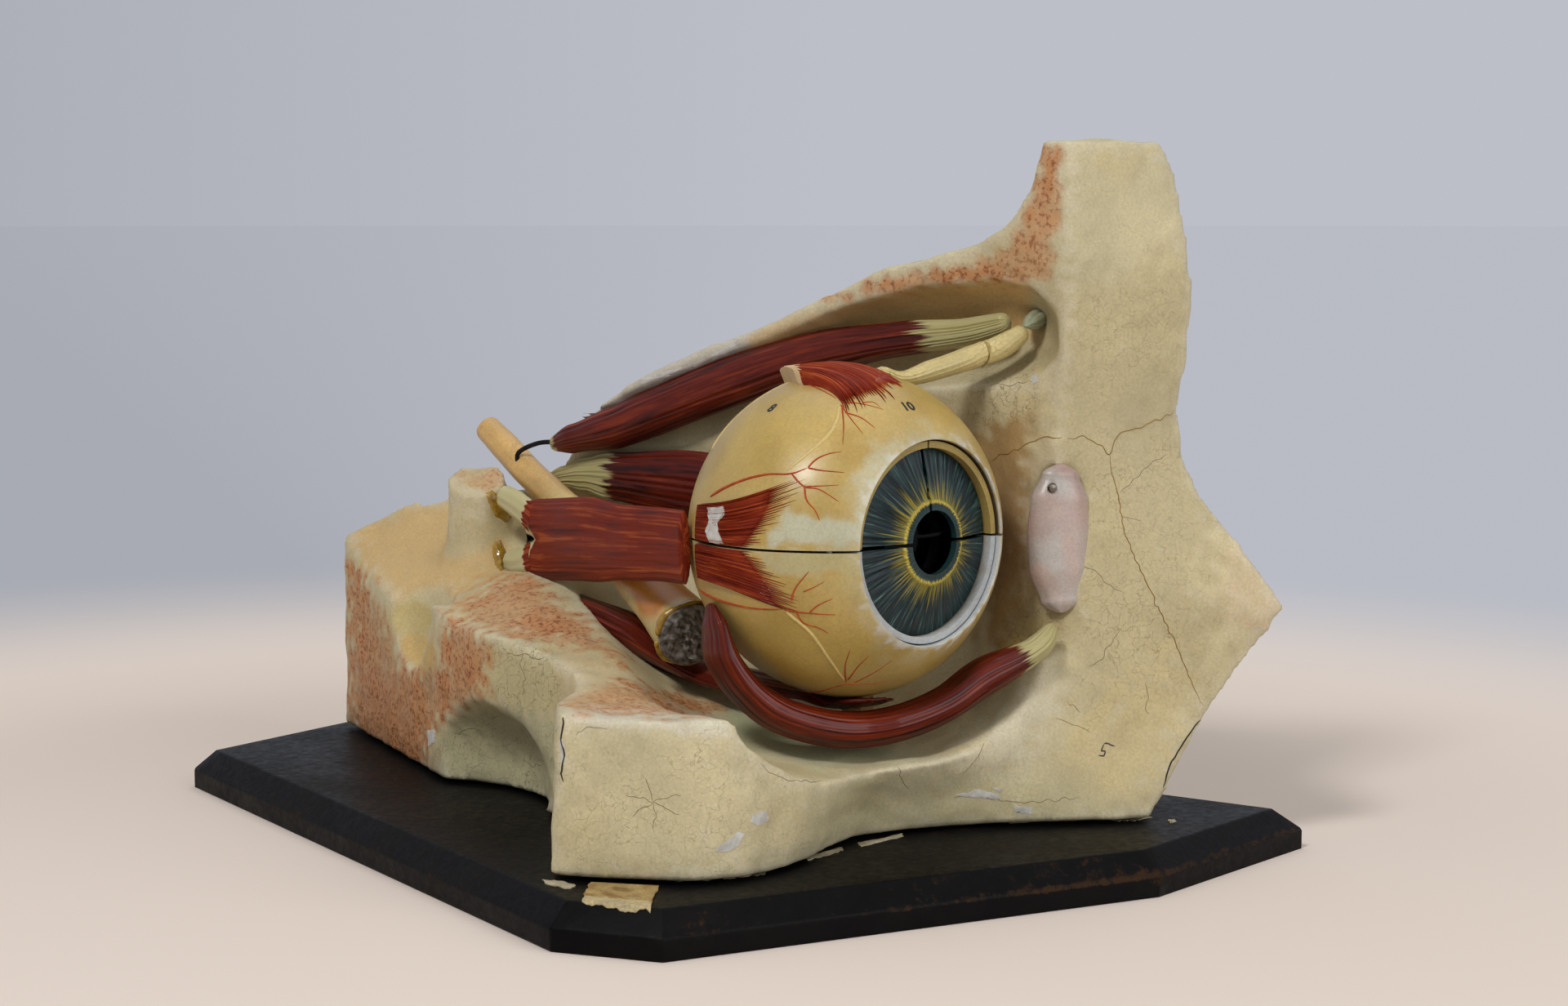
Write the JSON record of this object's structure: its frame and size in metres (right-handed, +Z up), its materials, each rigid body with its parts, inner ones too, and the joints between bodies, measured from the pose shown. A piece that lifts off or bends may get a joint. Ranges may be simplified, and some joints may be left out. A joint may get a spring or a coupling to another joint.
{
  "type": "eye anatomy model",
  "caption": "Painted plaster teaching model of a right eye in its socket on a bevelled board, with muscles, optic nerve and a globe whose shells lift apart.",
  "frame": {"origin": "middle of the base board's underside", "axes": "+Z up; the face that the model is cut from looks towards -Y; +X towards the nose and the flat face where the skull is cut through the middle"},
  "size_m": [0.283, 0.436, 0.271],
  "materials": {
    "ebonised_wood": "gloss",
    "steel": "satin",
    "black_wire": "satin",
    "label_paper": "matte",
    "bone_plaster": "matte",
    "nerve_plaster": "satin",
    "muscle_plaster": "gloss",
    "tendon_plaster": "satin",
    "sac_plaster": "satin",
    "peg_wood": "matte",
    "sclera_shell": "satin",
    "choroid_shell": "matte",
    "iris_paint": "gloss",
    "vitreous_glass": "polished",
    "lens_glass": "polished"
  },
  "bodies": {
    "socket": {"base_board": "ebonised_wood", "board_screw_1": "steel", "board_screw_2": "steel", "board_screw_3": "steel", "board_screw_4": "steel", "paper_label": "label_paper", "orbit_casting": "bone_plaster", "optic_nerve": "nerve_plaster", "support_wire": "black_wire", "superior_oblique": "muscle_plaster", "trochlea": "tendon_plaster", "oblique_tendon_fixed": "tendon_plaster", "medial_rectus": "muscle_plaster", "medial_rectus_pad_lower": "muscle_plaster", "inferior_rectus": "muscle_plaster", "inferior_oblique": "muscle_plaster", "lateral_rectus": "muscle_plaster", "lateral_rectus_pad_lower": "muscle_plaster", "lacrimal_sac": "sac_plaster", "lacrimal_sac_nail": "steel", "globe_peg": "peg_wood", "sclera_lower": "sclera_shell", "seam_pin_1": "steel", "seam_pin_2": "steel", "seam_pin_3": "steel"},
    "upper_sclera": {"sclera_upper": "sclera_shell", "lateral_rectus_pad_upper": "muscle_plaster", "medial_rectus_pad_upper": "muscle_plaster", "superior_rectus_stump": "muscle_plaster", "oblique_tendon_globe": "tendon_plaster"},
    "upper_choroid": {"choroid_upper_temporal": "choroid_shell", "choroid_upper_nasal": "choroid_shell", "iris_upper_temporal": "iris_paint", "iris_upper_nasal": "iris_paint"},
    "vitreous": {"vitreous_body": "vitreous_glass", "crystalline_lens": "lens_glass"},
    "lower_choroid": {"choroid_lower": "choroid_shell", "iris_lower": "iris_paint"}
  },
  "joints": [
    {"name": "sclera_lift", "type": "slide", "parent": "socket", "child": "upper_sclera", "axis": [0, 0, 1], "range_m": [0, 0.22]},
    {"name": "upper_choroid_lift", "type": "slide", "parent": "socket", "child": "upper_choroid", "axis": [0, 0, 1], "range_m": [0, 0.165]},
    {"name": "vitreous_lift", "type": "slide", "parent": "socket", "child": "vitreous", "axis": [0, 0, 1], "range_m": [0, 0.11]},
    {"name": "lower_choroid_lift", "type": "slide", "parent": "socket", "child": "lower_choroid", "axis": [0, 0, 1], "range_m": [0, 0.055]}
  ],
  "couplings": [
    {"joint": "upper_choroid_lift", "follows": "sclera_lift", "ratio": 0.75},
    {"joint": "vitreous_lift", "follows": "sclera_lift", "ratio": 0.5},
    {"joint": "lower_choroid_lift", "follows": "sclera_lift", "ratio": 0.25}
  ]
}
